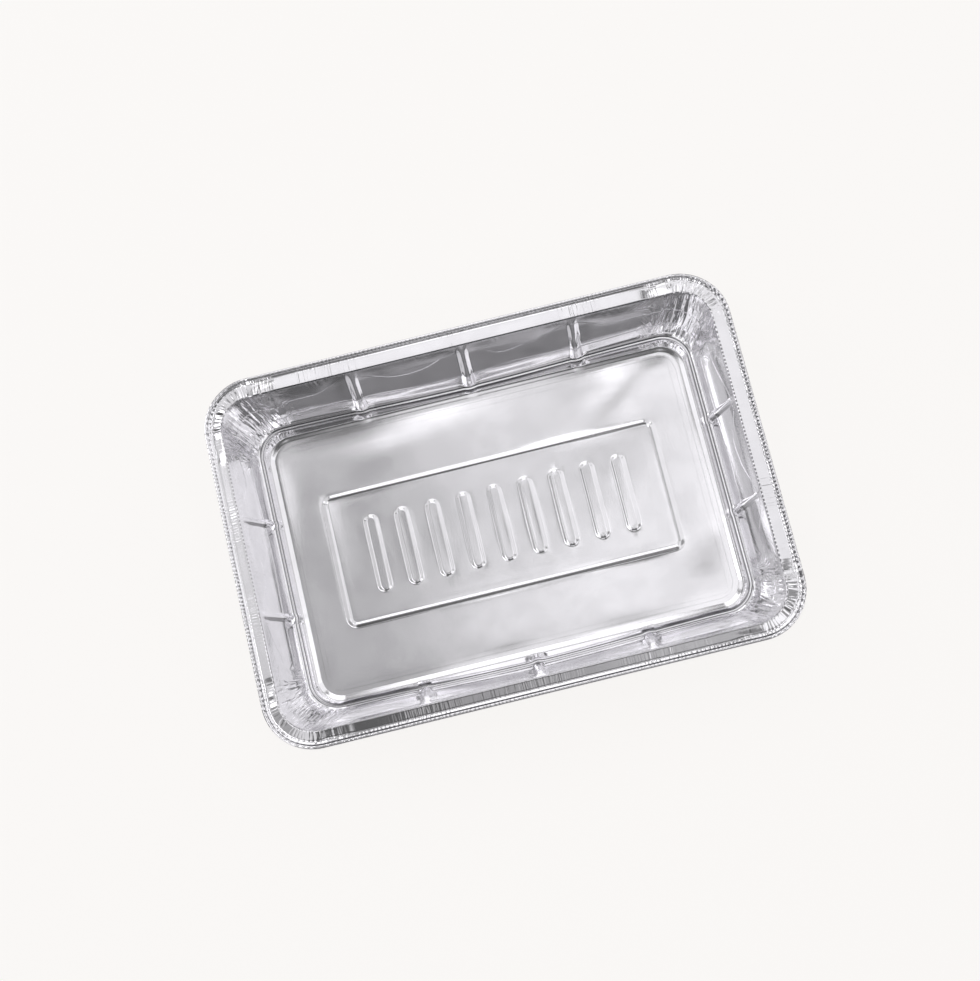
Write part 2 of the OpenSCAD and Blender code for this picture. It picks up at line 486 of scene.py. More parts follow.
@dataclass(frozen=True)
class Slump:
    """How the pan that was photographed departs from a true one, in millimetres, and how strongly the
    painted shade in its bends shows.
    """

    foot_shift: float = 0.6
    foot_bow: float = 1.5
    bow_half: float = 84.0
    floor_shift: float = 0.8
    frame_shift: tuple[float, float] = (-0.75, -0.5)
    crest_shift: tuple[float, float, float, float] = (0.9, 1.8, 0.2, 0.0)
    softness: tuple[float, float, float, float] = (0.14, 1.0, 0.22, 0.5)
    pleating: tuple[float, float, float, float] = (0.5, 0.75, 0.45, 0.35)
    creasing: tuple[float, float, float, float] = (0.7, 1.0, 0.8, 0.8)
    streaking: tuple[float, float, float, float] = (0.5, 1.0, 0.6, 0.6)
    # how strongly the rim's teeth show on each side, as bumps and as painted shade between them
    edge_teeth: tuple[float, float, float, float] = (1.0, 0.1, 0.25, 0.15)
    # how strongly the painted shade line under the crest shows on each side
    painted_crest_shade: tuple[float, float, float, float] = (0.85, 0.85, 0.5, 0.35)
    # how much the painted shade lines at the groove and crest break into dots on each side
    dotted_painted_shade: tuple[float, float, float, float] = (1.0, 0.0, 0.9, 0.0)
    swells: tuple[Swell, ...] = (
        Swell(58.0, 38.0, 22.0, 7.0, 28.0, 0.35),
        Swell(75.0, -44.0, 9.0, 8.0, 40.0, -0.3),
        Swell(78.0, -22.0, 10.0, 9.0, 70.0, 0.25),
        Swell(-8.0, -46.0, 14.0, 7.0, 15.0, 0.15),
        Swell(-30.0, 40.0, 25.0, 8.0, 10.0, 0.25),
        Swell(-70.0, 10.0, 9.0, 26.0, 0.0, -0.25),
    )

    def round_the_loop(self, values: Sequence[float], stations: Stations) -> np.ndarray:
        """Spread one value for each side round the loop, turning into the next at the corners.

        Args:
            values: One value for each side.
            stations: The stations round the pan.

        Returns:
            One value for each station.
        """
        table = np.array(values)
        turned = smooth(stations.turn / (math.pi / 2))
        return table[stations.side] * (1 - turned) + table[(stations.side + 1) % 4] * turned

    def swell_height(self, x: float, y: float) -> float:
        """Return the height of all the floor's swells at a point."""
        return sum(swell.at(x, y) for swell in self.swells)


@dataclass(frozen=True)
class PanelSizes:
    """How the wall panels between the ribs bulge and crease, in millimetres."""

    span: float = 17.0
    crease_start: float = 4.5
    crease_sag: float = 7.5
    crease_wander: float = 0.8
    rise: float = 9.0
    bend_above_foot: float = 6.6
    bend_wander: float = 0.9


@dataclass(frozen=True)
class GatherSizes:
    """Sizes of what the press leaves in the foil, in millimetres."""

    rib_settle: float = 0.7
    fold_depth: float = 0.5
    fold_spacing: float = 2.7
    fold_run: float = 11.0
    crimp_depth: float = 0.36
    crimp_spacing: float = 1.25
    panel_bulge: float = 0.75
    dent_depth: float = 0.8
    dent_length: float = 19.0
    dent_rise: float = 8.0
    crinkle_depth: float = 0.07
    crinkle_size: float = 2.4
    floor_wave: float = 0.5
    floor_wave_size: float = 46.0


class GatherTree:
    """Geometry nodes that press ribs, folds, crimps and dents into the sheet."""

    def __init__(self, sizes: PanSizes, gather: GatherSizes, finish: bpy.types.Material) -> None:
        """Build the tree.

        Args:
            sizes: The pan's sizes.
            gather: The sizes of the folds and dents.
            finish: The sheet's material.
        """
        self.group = bpy.data.node_groups.new("pressed_foil", "GeometryNodeTree")
        self.tree = Tree(self.group)
        self.finish = finish
        self.values: dict[str, float] = {
            "Rib width": sizes.rib_width,
            "Rib height": sizes.rib_height * gather.rib_settle,
            "Fold depth": gather.fold_depth,
            "Fold spacing": gather.fold_spacing,
            "Fold run": gather.fold_run,
            "Crimp depth": gather.crimp_depth,
            "Crimp spacing": gather.crimp_spacing,
            "Panel bulge": gather.panel_bulge,
            "Dent depth": gather.dent_depth,
            "Dent length": gather.dent_length,
            "Dent rise": gather.dent_rise,
            "Crinkle depth": gather.crinkle_depth,
            "Crinkle size": gather.crinkle_size,
            "Floor wave": gather.floor_wave,
            "Floor wave size": gather.floor_wave_size,
        }
        self.build()

    def attribute(self, name: str, kind: str = "FLOAT") -> Value:
        """Read a named attribute of the sheet."""
        return self.tree.value("GeometryNodeInputNamedAttribute", {"data_type": kind}, {"Name": name})

    def noise(self, x: Value, y: Value, seed: float, detail: float = 1.0) -> Value:
        """Return noise over two of the sheet's own coordinates, about zero.

        Args:
            x: The first coordinate, in cells.
            y: The second coordinate, in cells.
            seed: The slice of the noise that is read.
            detail: How much finer noise rides on it.

        Returns:
            Noise from about -0.5 to 0.5.
        """
        place = self.tree.node("ShaderNodeCombineXYZ", {}, {0: x, 1: y, 2: seed})
        made = self.tree.value(
            "ShaderNodeTexNoise",
            {"noise_dimensions": "3D"},
            {"Vector": place.outputs[0], "Scale": 1.0, "Detail": detail, "Roughness": 0.5},
        )
        return made - 0.5

    def build(self) -> None:
        """Wire the tree from its named inputs to the pressed sheet."""
        face = self.group.interface
        face.new_socket("Geometry", in_out="INPUT", socket_type="NodeSocketGeometry")
        for name in self.values:
            face.new_socket(name, in_out="INPUT", socket_type="NodeSocketFloat")
        face.new_socket("Geometry", in_out="OUTPUT", socket_type="NodeSocketGeometry")
        source = self.tree.node("NodeGroupInput")
        size = {name: Value(self.tree, source.outputs[name]) for name in self.values}
        push = self.rib(size) + self.folds(size) + self.dents(size) + self.crinkles(size) - self.bulge(size)
        lift = self.crimps(size) + self.waves(size) + self.attribute("swell")
        inward = self.attribute("inward", "FLOAT_VECTOR").socket
        shift = self.tree.node(
            "ShaderNodeVectorMath", {"operation": "SCALE"}, {0: inward, "Scale": push * MM}
        )
        rise = self.tree.node("ShaderNodeCombineXYZ", {}, {2: lift * MM})
        offset = self.tree.node(
            "ShaderNodeVectorMath", {"operation": "ADD"}, {0: shift.outputs[0], 1: rise.outputs[0]}
        )
        net = source.outputs["Geometry"]
        moved = self.tree.node(
            "GeometryNodeSetPosition", {}, {"Geometry": net, "Offset": offset.outputs[0]}
        )
        real = self.tree.node("GeometryNodeRealizeInstances", {}, {"Geometry": moved.outputs[0]})
        dressed = self.tree.node(
            "GeometryNodeSetMaterial", {}, {"Geometry": real.outputs[0], "Material": self.finish}
        )
        self.tree.node("NodeGroupOutput", {}, {0: dressed.outputs[0]})

    def rib(self, size: dict[str, Value]) -> Value:
        """Return the inward push of the walls' ribs.

        Args:
            size: The tree's inputs by name.

        Returns:
            The push in millimetres.
        """
        gap = self.attribute("rib_gap") / (size["Rib width"] * 0.5)
        crown = (1.0 - gap * gap).math("MAXIMUM", 0.0) ** 1.2
        return crown * self.attribute("rib_share") * size["Rib height"]

    def folds(self, size: dict[str, Value]) -> Value:
        """Return the push of the long folds gathered in the corners' walls.

        Args:
            size: The tree's inputs by name.

        Returns:
            The push in millimetres.
        """
        across = self.attribute("loop") / size["Fold spacing"]
        down = self.attribute("section") / size["Fold run"]
        wander = self.noise(across * 0.45, down * 0.35, 11.3) * 2.6
        strength = self.noise(across * 0.5, down * 0.4, 4.7).ramp(-0.25, 0.25, 0.3, 1.4)
        long_pleats = (across + wander).math("PINGPONG", 0.5) * strength
        fine_wander = self.noise(across * 0.9, down * 0.5, 8.3) * 2.0
        patch = self.noise(across * 0.4, down * 0.6, 1.9).ramp(-0.15, 0.3)
        short_pleats = (across * 2.1 + fine_wander).math("PINGPONG", 0.5) * patch
        crease = long_pleats * 2.0 + short_pleats * 1.1
        return crease * size["Fold depth"] * self.attribute("fold_share")

    def bulge(self, size: dict[str, Value]) -> Value:
        """Return the outward push of the wall panels between the ribs."""
        return self.attribute("bulge_share") * size["Panel bulge"]

    def dents(self, size: dict[str, Value]) -> Value:
        """Return the push of the walls' soft dents.

        Args:
            size: The tree's inputs by name.

        Returns:
            The push in millimetres.
        """
        x = self.attribute("loop") / size["Dent length"]
        y = self.attribute("section") / size["Dent rise"]
        return self.noise(x, y, 2.9, 0.5) * size["Dent depth"] * self.attribute("dent_share")

    def crinkles(self, size: dict[str, Value]) -> Value:
        """Return the push of the walls' fine crinkles.

        Args:
            size: The tree's inputs by name.

        Returns:
            The push in millimetres.
        """
        x = self.attribute("loop") / size["Crinkle size"]
        y = self.attribute("section") / size["Crinkle size"]
        patch = self.noise(x * 0.12, y * 0.2, 7.7).ramp(-0.08, 0.2)
        return self.noise(x, y, 8.1, 1.5) * patch * size["Crinkle depth"] * self.attribute("dent_share")

    def crimps(self, size: dict[str, Value]) -> Value:
        """Return the lift of the crimps across the flange's corners.

        Args:
            size: The tree's inputs by name.

        Returns:
            The lift in millimetres.
        """
        across = self.attribute("loop") / size["Crimp spacing"]
        down = self.attribute("section") / size["Fold run"]
        wander = self.noise(across * 0.35, down, 5.1) * 3.0
        ripple = ((across + wander) * (2.0 * math.pi)).sine()
        patch = self.noise(across * 0.16, down * 0.3, 3.3).ramp(-0.12, 0.22, 0.15, 1.0)
        return (ripple - 1.0) * patch * size["Crimp depth"] * self.attribute("crimp_share")

    def waves(self, size: dict[str, Value]) -> Value:
        """Return the lift of the floor's long low waves.

        Args:
            size: The tree's inputs by name.

        Returns:
            The lift in millimetres.
        """
        place = self.tree.node("GeometryNodeInputPosition")
        parts = self.tree.node("ShaderNodeSeparateXYZ", {}, {0: place.outputs[0]})
        x = Value(self.tree, parts.outputs[0]) / MM / size["Floor wave size"]
        y = Value(self.tree, parts.outputs[1]) / MM / size["Floor wave size"]
        return self.noise(x, y * 1.3, 6.6, 0.0) * size["Floor wave"] * self.attribute("floor_share")

    def press(self, piece: bpy.types.Object) -> None:
        """Put the tree on a piece as a modifier, with its inputs set.

        Args:
            piece: The piece.
        """
        modifier = piece.modifiers.new("press", "NODES")
        modifier.node_group = self.group
        for item in self.group.interface.items_tree:
            if item.in_out == "INPUT" and item.name in self.values:
                modifier[item.identifier] = self.values[item.name]


@dataclass(frozen=True)
class Seams:
    """Distances down the section at which the foil bends sharply, in millimetres."""

    groove: float
    crest: float
    foot: float
    step: float
    ridge: float


@dataclass(frozen=True)
class FoilFinish:
    """Bright rolled aluminium foil, satin where it is flat and sharper where it is drawn, with painted
    shade in its sharp bends.

    Depths and spacings are in millimetres.
    """

    name: str = "rolled_foil"
    colour: tuple[float, float, float] = (0.894, 0.888, 0.906)
    shade: tuple[float, float, float] = (0.851, 0.845, 0.863)
    # near black of the painted shade laid into the sharp bends and between the rim's teeth
    painted_shade_colour: tuple[float, float, float] = (0.10, 0.10, 0.11)
    floor_roughness: float = 0.17
    wall_roughness: float = 0.12
    grain_depth: float = 0.006
    tooth_depth: float = 0.11
    tooth_spacing: float = 1.6
    tooth_length: float = 2.0
    tick_depth: float = 0.06
    ripple_depth: float = 0.1
    ripple_reach: float = 7.0
    streak_depth: float = 0.012
    crease_depth: float = 0.1
    crease_width: float = 0.45
    gather_depth: float = 0.5
    gather_spacing: float = 1.5
    gather_reach: float = 24.0

    def make(self, seams: Seams) -> bpy.types.Material:
        """Build the material.

        Args:
            seams: Where the sharp bends of the section lie.

        Returns:
            The foil's material.
        """
        material = bpy.data.materials.new(self.name)
        material.use_nodes = True
        material.node_tree.nodes.clear()
        tree = Tree(material.node_tree)
        place = tree.node("ShaderNodeTexCoord").outputs["Object"]
        floor = self.attribute(tree, "floor_share")
        speck = self.cells(tree, place, (90.0, 90.0, 90.0), 2.0)
        tint = tree.node(
            "ShaderNodeMix",
            {"data_type": "RGBA"},
            {"Factor": speck.ramp(0.35, 0.65), 6: (*self.colour, 1.0), 7: (*self.shade, 1.0)},
        )
        # painted shade: the base colour darkens towards near black along the sharp bends
        base_with_painted_shade = tree.node(
            "ShaderNodeMix",
            {"data_type": "RGBA"},
            {"Factor": self.painted_bend_shade(tree, seams), 6: tint.outputs[2], 7: (*self.painted_shade_colour, 1.0)},
        )
        cloud = self.cells(tree, place, (22.0, 30.0, 22.0), 2.0)
        rough = floor * (self.floor_roughness - self.wall_roughness) + self.wall_roughness
        rough = rough * (0.8 + cloud * 0.4)
        shader = tree.node(
            "ShaderNodeBsdfPrincipled",
            {},
            {
                "Base Color": base_with_painted_shade.outputs[2],
                "Metallic": 1.0,
                "Roughness": rough,
                "Normal": self.relief(tree, place, floor, seams),
            },
        )
        tree.node("ShaderNodeOutputMaterial", {}, {"Surface": shader.outputs[0]})
        return material

    def painted_bend_shade(self, tree: Tree, seams: Seams) -> Value:
        """Return the share of painted shade along the sharp bends and between the rim's teeth.

        Args:
            tree: The material's tree.
            seams: Where the sharp bends of the section lie.

        Returns:
            A share of painted shade, from 0 on the open sheet to nearly 1 in a tight bend.
        """
        loop = self.attribute(tree, "loop")
        section = self.attribute(tree, "section")
        wave = (loop * (2.0 * math.pi / self.tooth_spacing)).sine()
        dots = 1.0 - self.attribute(tree, "dotted_painted_shade") * wave.ramp(-0.3, 0.5)
        # painted shade lines along the groove, crest, foot, step and ridge
        groove = self.line(section, seams.groove, 0.36) * 0.8 * dots
        broken = self.sheet_noise(tree, loop * 0.9, section * 0.3, 6.1).ramp(-0.06, 0.1)
        broken = 1.0 - self.attribute(tree, "gathered") * broken * 0.8
        crest = self.line(section, seams.crest - 0.1, 0.42) * dots * broken
        crest = crest * self.attribute(tree, "painted_crest_shade")
        foot = self.line(section, seams.foot, 0.5) * 0.8
        step = self.line(section, seams.step, 0.28) * 0.55
        ridge = self.line(section, seams.ridge + 0.3, 0.25) * 0.3
        # painted shade between the teeth pressed into the rolled edge
        rows = ((section - seams.groove) * (2.0 * math.pi / self.tooth_length)).sine()
        reach = self.line(section, seams.groove, 1.3)
        teeth = (wave * rows).ramp(0.05, 0.5) * reach * self.attribute(tree, "edge_share") * 0.9
        found = groove.math("MAXIMUM", crest).math("MAXIMUM", foot).math("MAXIMUM", step)
        return found.math("MAXIMUM", ridge).math("MAXIMUM", teeth)

    @staticmethod
    def line(section: Value, place: float, half: float) -> Value:
        """Return 1 on a line round the pan and 0 beyond half its width."""
        return abs(section - place).ramp(half * 0.3, half, 1.0, 0.0)

    def attribute(self, tree: Tree, name: str) -> Value:
        """Read a named attribute of the sheet."""
        made = tree.node("ShaderNodeAttribute", {"attribute_name": name})
        return Value(tree, made.outputs["Fac"])

    def cells(
        self, tree: Tree, place: bpy.types.NodeSocket, scale: tuple[float, float, float], detail: float
    ) -> Value:
        """Return noise over the sheet, with a scale for each axis in cells a metre.

        Args:
            tree: The material's tree.
            place: The object coordinates.
            scale: The cells a metre along each axis.
            detail: How much finer noise rides on it.

        Returns:
            The noise, from 0 to 1.
        """
        scaled = tree.node("ShaderNodeVectorMath", {"operation": "MULTIPLY"}, {0: place, 1: scale})
        return tree.value(
            "ShaderNodeTexNoise", {}, {"Vector": scaled.outputs[0], "Scale": 1.0, "Detail": detail}
        )

    def sheet_noise(self, tree: Tree, x: Value, y: Value, seed: float, detail: float = 1.0) -> Value:
        """Return noise over the sheet's own two directions, from about -0.5 to 0.5.

        Args:
            tree: The material's tree.
            x: The place round the loop, in cells.
            y: The place down the section, in cells.
            seed: The slice of the noise that is read.
            detail: How much finer noise rides on it.

        Returns:
            The noise.
        """
        place = tree.node("ShaderNodeCombineXYZ", {}, {0: x, 1: y, 2: seed})
        return tree.value(
            "ShaderNodeTexNoise", {}, {"Vector": place.outputs[0], "Scale": 1.0, "Detail": detail}
        ) - 0.5

    def relief(
        self, tree: Tree, place: bpy.types.NodeSocket, floor: Value, seams: Seams
    ) -> bpy.types.NodeSocket:
        """Return the normal of the foil's fine relief.

        Args:
            tree: The material's tree.
            place: The object coordinates.
            floor: The floor's share of the surface.
            seams: Where the sharp bends of the section lie.

        Returns:
            The bumped normal.
        """
        loop = self.attribute(tree, "loop")
        section = self.attribute(tree, "section")
        wall = self.attribute(tree, "wall_share")
        height = self.grain(tree, place, floor)
        height = height + self.teeth(tree, loop, section)
        height = height + self.ticks(tree, loop, section)
        height = height + self.ripples(tree, loop, section - seams.crest) * wall
        height = height + self.streaks(tree, loop, section) * wall
        height = height + self.gathers(tree, loop, section - seams.crest)
        height = height + self.crease(tree, "panel_gap", loop, 8.8) * wall
        height = height + self.crease(tree, "bend_gap", loop, 4.4) * wall
        made = tree.node("ShaderNodeBump", {}, {"Height": height, "Strength": 1.0, "Distance": MM})
        return made.outputs[0]

    def grain(self, tree: Tree, place: bpy.types.NodeSocket, floor: Value) -> Value:
        """Return the height of the rolling grain, strongest on the flat floor."""
        lines = self.cells(tree, place, (2600.0, 260.0, 1200.0), 2.0)
        return lines * (floor * 0.8 + 0.2) * self.grain_depth

    def teeth(self, tree: Tree, loop: Value, section: Value) -> Value:
        """Return the height of the teeth pressed into the rolled edge.

        Args:
            tree: The material's tree.
            loop: The place round the loop.
            section: The place down the section.

        Returns:
            The height in millimetres.
        """
        wander = self.sheet_noise(tree, loop * 0.3, section * 0.5, 1.7)
        wave = ((loop / self.tooth_spacing + wander * 1.4) * (2.0 * math.pi)).sine()
        return wave * self.attribute(tree, "edge_share") * self.tooth_depth

    def ticks(self, tree: Tree, loop: Value, section: Value) -> Value:
        """Return the height of the short ticks across the flange, grouped at ribs and corners.

        Args:
            tree: The material's tree.
            loop: The place round the loop.
            section: The place down the section.

        Returns:
            The height in millimetres.
        """
        near_rib = self.attribute(tree, "rib_gap").ramp(4.0, 18.0, 1.0, 0.0)
        patch = self.sheet_noise(tree, loop * 0.06, section * 0.02, 9.2).ramp(-0.02, 0.12)
        group = near_rib.math("MAXIMUM", patch * 0.7).math("MAXIMUM", self.attribute(tree, "gathered"))
        lines = abs(self.sheet_noise(tree, loop * 1.1, section * 0.12, 5.5, 0.0))
        return lines * group * self.attribute(tree, "flange_share") * (2.0 * self.tick_depth)

    def ripples(self, tree: Tree, loop: Value, down: Value) -> Value:
        """Return the height of the ripples that run down from the crest.

        Args:
            tree: The material's tree.
            loop: The place round the loop.
            down: The distance down the section from the crest.

        Returns:
            The height in millimetres.
        """
        fade = down.ramp(0.0, self.ripple_reach, 1.0, 0.0)
        patch = self.sheet_noise(tree, loop * 0.045, down * 0.02, 3.1).ramp(-0.06, 0.1)
        lines = self.sheet_noise(tree, loop * 0.8 + down * 0.12, down * 0.06, 7.4, 0.0)
        return lines * fade * patch * (2.0 * self.ripple_depth)

    def streaks(self, tree: Tree, loop: Value, section: Value) -> Value:
        """Return the height of the long streaks that the press draws along the walls.

        Args:
            tree: The material's tree.
            loop: The place round the loop.
            section: The place down the section.

        Returns:
            The height in millimetres.
        """
        long_lines = self.sheet_noise(tree, loop * 0.05, section * 0.55, 2.2, 2.0)
        patch = self.sheet_noise(tree, loop * 0.07, section * 0.1, 6.9).ramp(-0.1, 0.15)
        return long_lines * (0.4 + patch) * self.streak_depth

    def gathers(self, tree: Tree, loop: Value, down: Value) -> Value:
        """Return the height of the fine creases that fan out of the corners' walls.

        Args:
            tree: The material's tree.
            loop: The place round the loop.
            down: The distance down the section from the crest.

        Returns:
            The height in millimetres.
        """
        gap = self.attribute(tree, "corner_gap")
        near = gap.ramp(0.0, self.gather_reach * 0.4, 0.8, 0.0)
        near = near + gap.ramp(0.0, self.gather_reach, 0.2, 0.0)
        across = loop / self.gather_spacing
        lean = self.attribute(tree, "corner_lean") * down / self.gather_spacing
        fan = self.sheet_noise(tree, across + lean, down * 0.09, 1.2, 1.0)
        patch = self.sheet_noise(tree, loop * 0.16, down * 0.12, 4.9).ramp(-0.12, 0.14, 0.25, 1.0)
        mottle = self.sheet_noise(tree, loop * 0.55, down * 0.5, 8.6, 2.0)
        height = abs(fan) * (-2.0 * patch) + mottle * 0.12
        return height * near * self.attribute(tree, "crease_share") * self.gather_depth

    def crease(self, tree: Tree, name: str, loop: Value, seed: float) -> Value:
        """Return the height of a sharp crease, patchy along its length.

        Args:
            tree: The material's tree.
            name: The attribute that holds the distance from the crease.
            loop: The place round the loop.
            seed: The slice of the noise that breaks the crease up.

        Returns:
            The height.
        """
        gap = abs(self.attribute(tree, name))
        strength = self.sheet_noise(tree, loop * 0.05, loop * 0.01, seed).ramp(-0.25, 0.05)
        return gap.ramp(0.0, self.crease_width, 1.0, 0.0) * strength * self.crease_depth


@dataclass
class FoilSheet:
    """The pressed sheet of foil, from the rolled edge in to the embossed floor."""

    sizes: PanSizes
    gather: GatherSizes
    slump: Slump
    finish: FoilFinish
    panel: PanelSizes = PanelSizes()
    roll_steps: int = 12
    grid: float = 3.2
    loop_depth: float = 3.0
    pull_run: float = 9.0
    gather_fade: float = 5.0
    lean_fade: float = 6.0

    def roll_rows(self) -> np.ndarray:
        """Return the section of the rolled edge, from its free end to its top.

        Returns:
            Rows of inset and height.
        """
        s = self.sizes
        centre = s.height - s.flange_drop + s.roll_rise - s.roll_radius
        turns = np.radians(np.linspace(90.0 - s.roll_turn, 90.0, self.roll_steps + 1))
        insets = s.roll_radius * (1 - np.cos(turns))
        return np.stack([insets, centre + s.roll_radius * np.sin(turns)], axis=1)

    def sheet_rows(self) -> np.ndarray:
        """Return the section from the roll's top over the wall to the floor.

        Returns:
            Rows of inset and height.
        """
        s = self.sizes
        low = s.height - s.flange_drop
        top = low + s.roll_rise
        groove, crest, foot = 2 * s.roll_radius, s.crest_inset, s.foot_inset
        bends = (
            Bend(s.roll_radius, top),
            Bend(s.roll_radius + 0.5, top - 0.1, 0.25, 2),
            Bend(groove - 0.05, low, 0.12, 2),
            Bend(groove + 0.3, top, 0.15, 3, 2),
            Bend(groove + s.band_width, low + 0.05, 0.9, 2, 5),
            Bend(crest, s.height + 0.05, 0.5, 5, 4),
            Bend(crest + 2.35, s.height - 8.0, 14.0, 2, 7),
            Bend(crest + 7.2, s.bend_height + 0.4, 2.0, 2, 4),
            Bend(foot - s.ledge_width, s.ledge_height, 0.35, 2),
            Bend(foot, s.ledge_height * 0.8, 0.14, 2),
            Bend(foot + 0.2, s.foil, 0.2, 2),
            Bend(s.step_inset, s.foil, 0.3, 2, 3),
            Bend(s.ridge_inset, s.ridge_height + 0.1, 0.4, 4, 2),
            Bend(s.floor_inset, s.floor_z, 0.8, 2, 1),
            Bend(s.floor_inset + s.floor_margin, s.floor_z),
        )
        return rounded_section(bends)

    def corner_radius(self, inset: np.ndarray) -> np.ndarray:
        """Return the corner radius of the rings at some insets.

        Args:
            inset: The rings' insets.

        Returns:
            One radius for each inset.
        """
        s = self.sizes
        middle = (s.foot_corner + s.floor_corner) / 2
        corners = {
            0.0: s.rim_corner,
            s.crest_inset: s.rim_corner - s.crest_inset,
            s.foot_inset: s.foot_corner,
            s.step_inset: 0.5 * (s.foot_corner + middle),
            s.ridge_inset: middle,
            s.floor_inset: s.floor_corner,
            s.floor_inset + s.floor_margin: s.floor_corner - 1.0,
        }
        return np.interp(inset, list(corners), list(corners.values()))

    def build(self) -> bpy.types.Object:
        """Build the sheet's net, press it and give it its thickness.

        Returns:
            The finished piece.
        """
        stations = Stations(self.sizes)
        roll, sheet = self.roll_rows(), self.sheet_rows()
        rows = np.vstack([roll, sheet[1:]])
        shares = self.row_shares(rows, len(roll))
        rings, inward = self.rings(stations, rows)
        seams = self.seams(rows)
        net = self.net(stations, rows, rings, inward, shares, seams)
        piece = bpy.data.objects.new("foil_sheet_net", net)
        bpy.context.scene.collection.objects.link(piece)
        GatherTree(self.sizes, self.gather, self.finish.make(seams)).press(piece)
        solid = piece.modifiers.new("foil", "SOLIDIFY")
        solid.thickness = self.sizes.foil * MM
        solid.offset = -1.0
        done = self.baked(piece, "foil_sheet")
        LOG.info("foil sheet: %d stations, %d rings, %d faces",
                 len(stations.side), len(rows), len(done.data.polygons))
        return done

    def seams(self, rows: np.ndarray) -> Seams:
        """Return how far down the section its sharp bends lie.

        Args:
            rows: The section.

        Returns:
            The bends, as distances down the section.
        """
        s = self.sizes
        run = section_run(rows)
        places = (2 * s.roll_radius, s.crest_inset, s.foot_inset + 0.1, s.step_inset, s.ridge_inset)
        insets, run = rows[self.roll_steps:, 0], run[self.roll_steps:]
        return Seams(*(float(run[np.argmin(abs(insets - place))]) for place in places))

    def row_shares(self, rows: np.ndarray, rolled: int) -> dict[str, np.ndarray]:
        """Return how much of each pressed form each ring takes.

        Args:
            rows: The section.
            rolled: How many of its rows are in the roll.

        Returns:
            One list of shares for each form.
        """
        s = self.sizes
        crest, foot, groove = s.crest_inset, s.foot_inset, 2 * s.roll_radius
        band = groove + s.band_width
        inset = rows[:, 0]
        is_roll = np.arange(len(rows)) < rolled
        step, ridge, floor = s.step_inset, s.ridge_inset, s.floor_inset
        forms: dict[str, tuple[tuple[float, float], ...]] = {
            "rib_share": (
                (crest + 0.3, 0.0), (crest + 0.9, 0.45), (crest + 2.4, 1.0), (foot - 2.4, 1.0),
                (foot - 0.6, 1.5), (foot - 0.1, 0.5), (foot + 0.3, 0.35), (step, 0.5), (ridge, 0.25),
                (floor, 0.0)),
            "fold_share": (
                (crest - 0.1, 0.05), (crest + 1.0, 0.5), (crest + 3.0, 1.0), (foot - 2.5, 1.0),
                (foot - 0.9, 0.8), (foot - 0.1, 0.2), (foot + 0.3, 0.0)),
            "crimp_share": (
                (groove, 0.25), (band, 0.5), (band + 0.8, 1.0), (crest - 0.5, 0.9), (crest, 0.4),
                (crest + 0.8, 0.0)),
            "dent_share": (
                (crest, 0.0), (crest + 1.5, 0.5), (crest + 4.0, 1.0), (foot - 3.0, 0.8), (foot - 0.7, 0.0)),
            "edge_share": ((groove, 1.0), (groove + 0.3, 0.4), (band, 0.0)),
            "flange_share": (
                (groove, 0.0), (groove + 0.4, 0.6), (band, 1.0), (crest - 0.3, 1.0), (crest + 0.2, 0.0)),
            "wall_share": ((crest, 0.0), (crest + 0.3, 1.0), (foot - 1.0, 1.0), (foot - 0.5, 0.0)),
        }
        shares = {name: np.interp(inset, *zip(*form)) for name, form in forms.items()}
        for name in ("rib_share", "fold_share", "dent_share", "flange_share", "wall_share"):
            shares[name] = np.where(is_roll, 0.0, shares[name])
        shares["crimp_share"] = np.where(is_roll, 0.2, shares["crimp_share"])
        return shares

    def rings(self, stations: Stations, rows: np.ndarray) -> tuple[np.ndarray, np.ndarray]:
        """Lay all rings out, with the slump of the pan that was photographed.

        Args:
            stations: The stations round the pan.
            rows: The section.

        Returns:
            The rings' points and the inward directions.
        """
        s = self.sizes
        corners = self.corner_radius(rows[:, 0])
        crest = self.slump.round_the_loop(self.slump.crest_shift, stations)
        points, inward = [], []
        band, foot_edge = 2 * s.roll_radius + s.band_width, s.foot_inset - 1.0
        foot_places = (s.crest_inset + 2.0, s.foot_inset - 0.8, s.step_inset, s.ridge_inset)
        for (inset, height), corner in zip(rows, corners):
            plan, out = stations.plan(inset, corner)
            hump = np.cos(np.clip(plan[:, 0] / self.slump.bow_half, -1.0, 1.0) * math.pi / 2) ** 2
            foot = float(np.interp(inset, foot_places, (0, 1, 1, 0)))
            floor = float(np.interp(inset, (s.step_inset, s.ridge_inset), (0, 1)))
            eased = float(np.interp(inset, (band, s.crest_inset, foot_edge), (0, 1, 0)))
            plan -= out * (crest * eased)[:, None]
            plan[:, 1] += foot * (self.slump.foot_shift - self.slump.foot_bow * hump)
            plan[:, 1] -= floor * self.slump.floor_shift
            points.append(np.column_stack([plan, np.full(len(plan), height)]))
            inward.append(np.column_stack([-out, np.zeros(len(out))]))
        return np.array(points), np.array(inward)

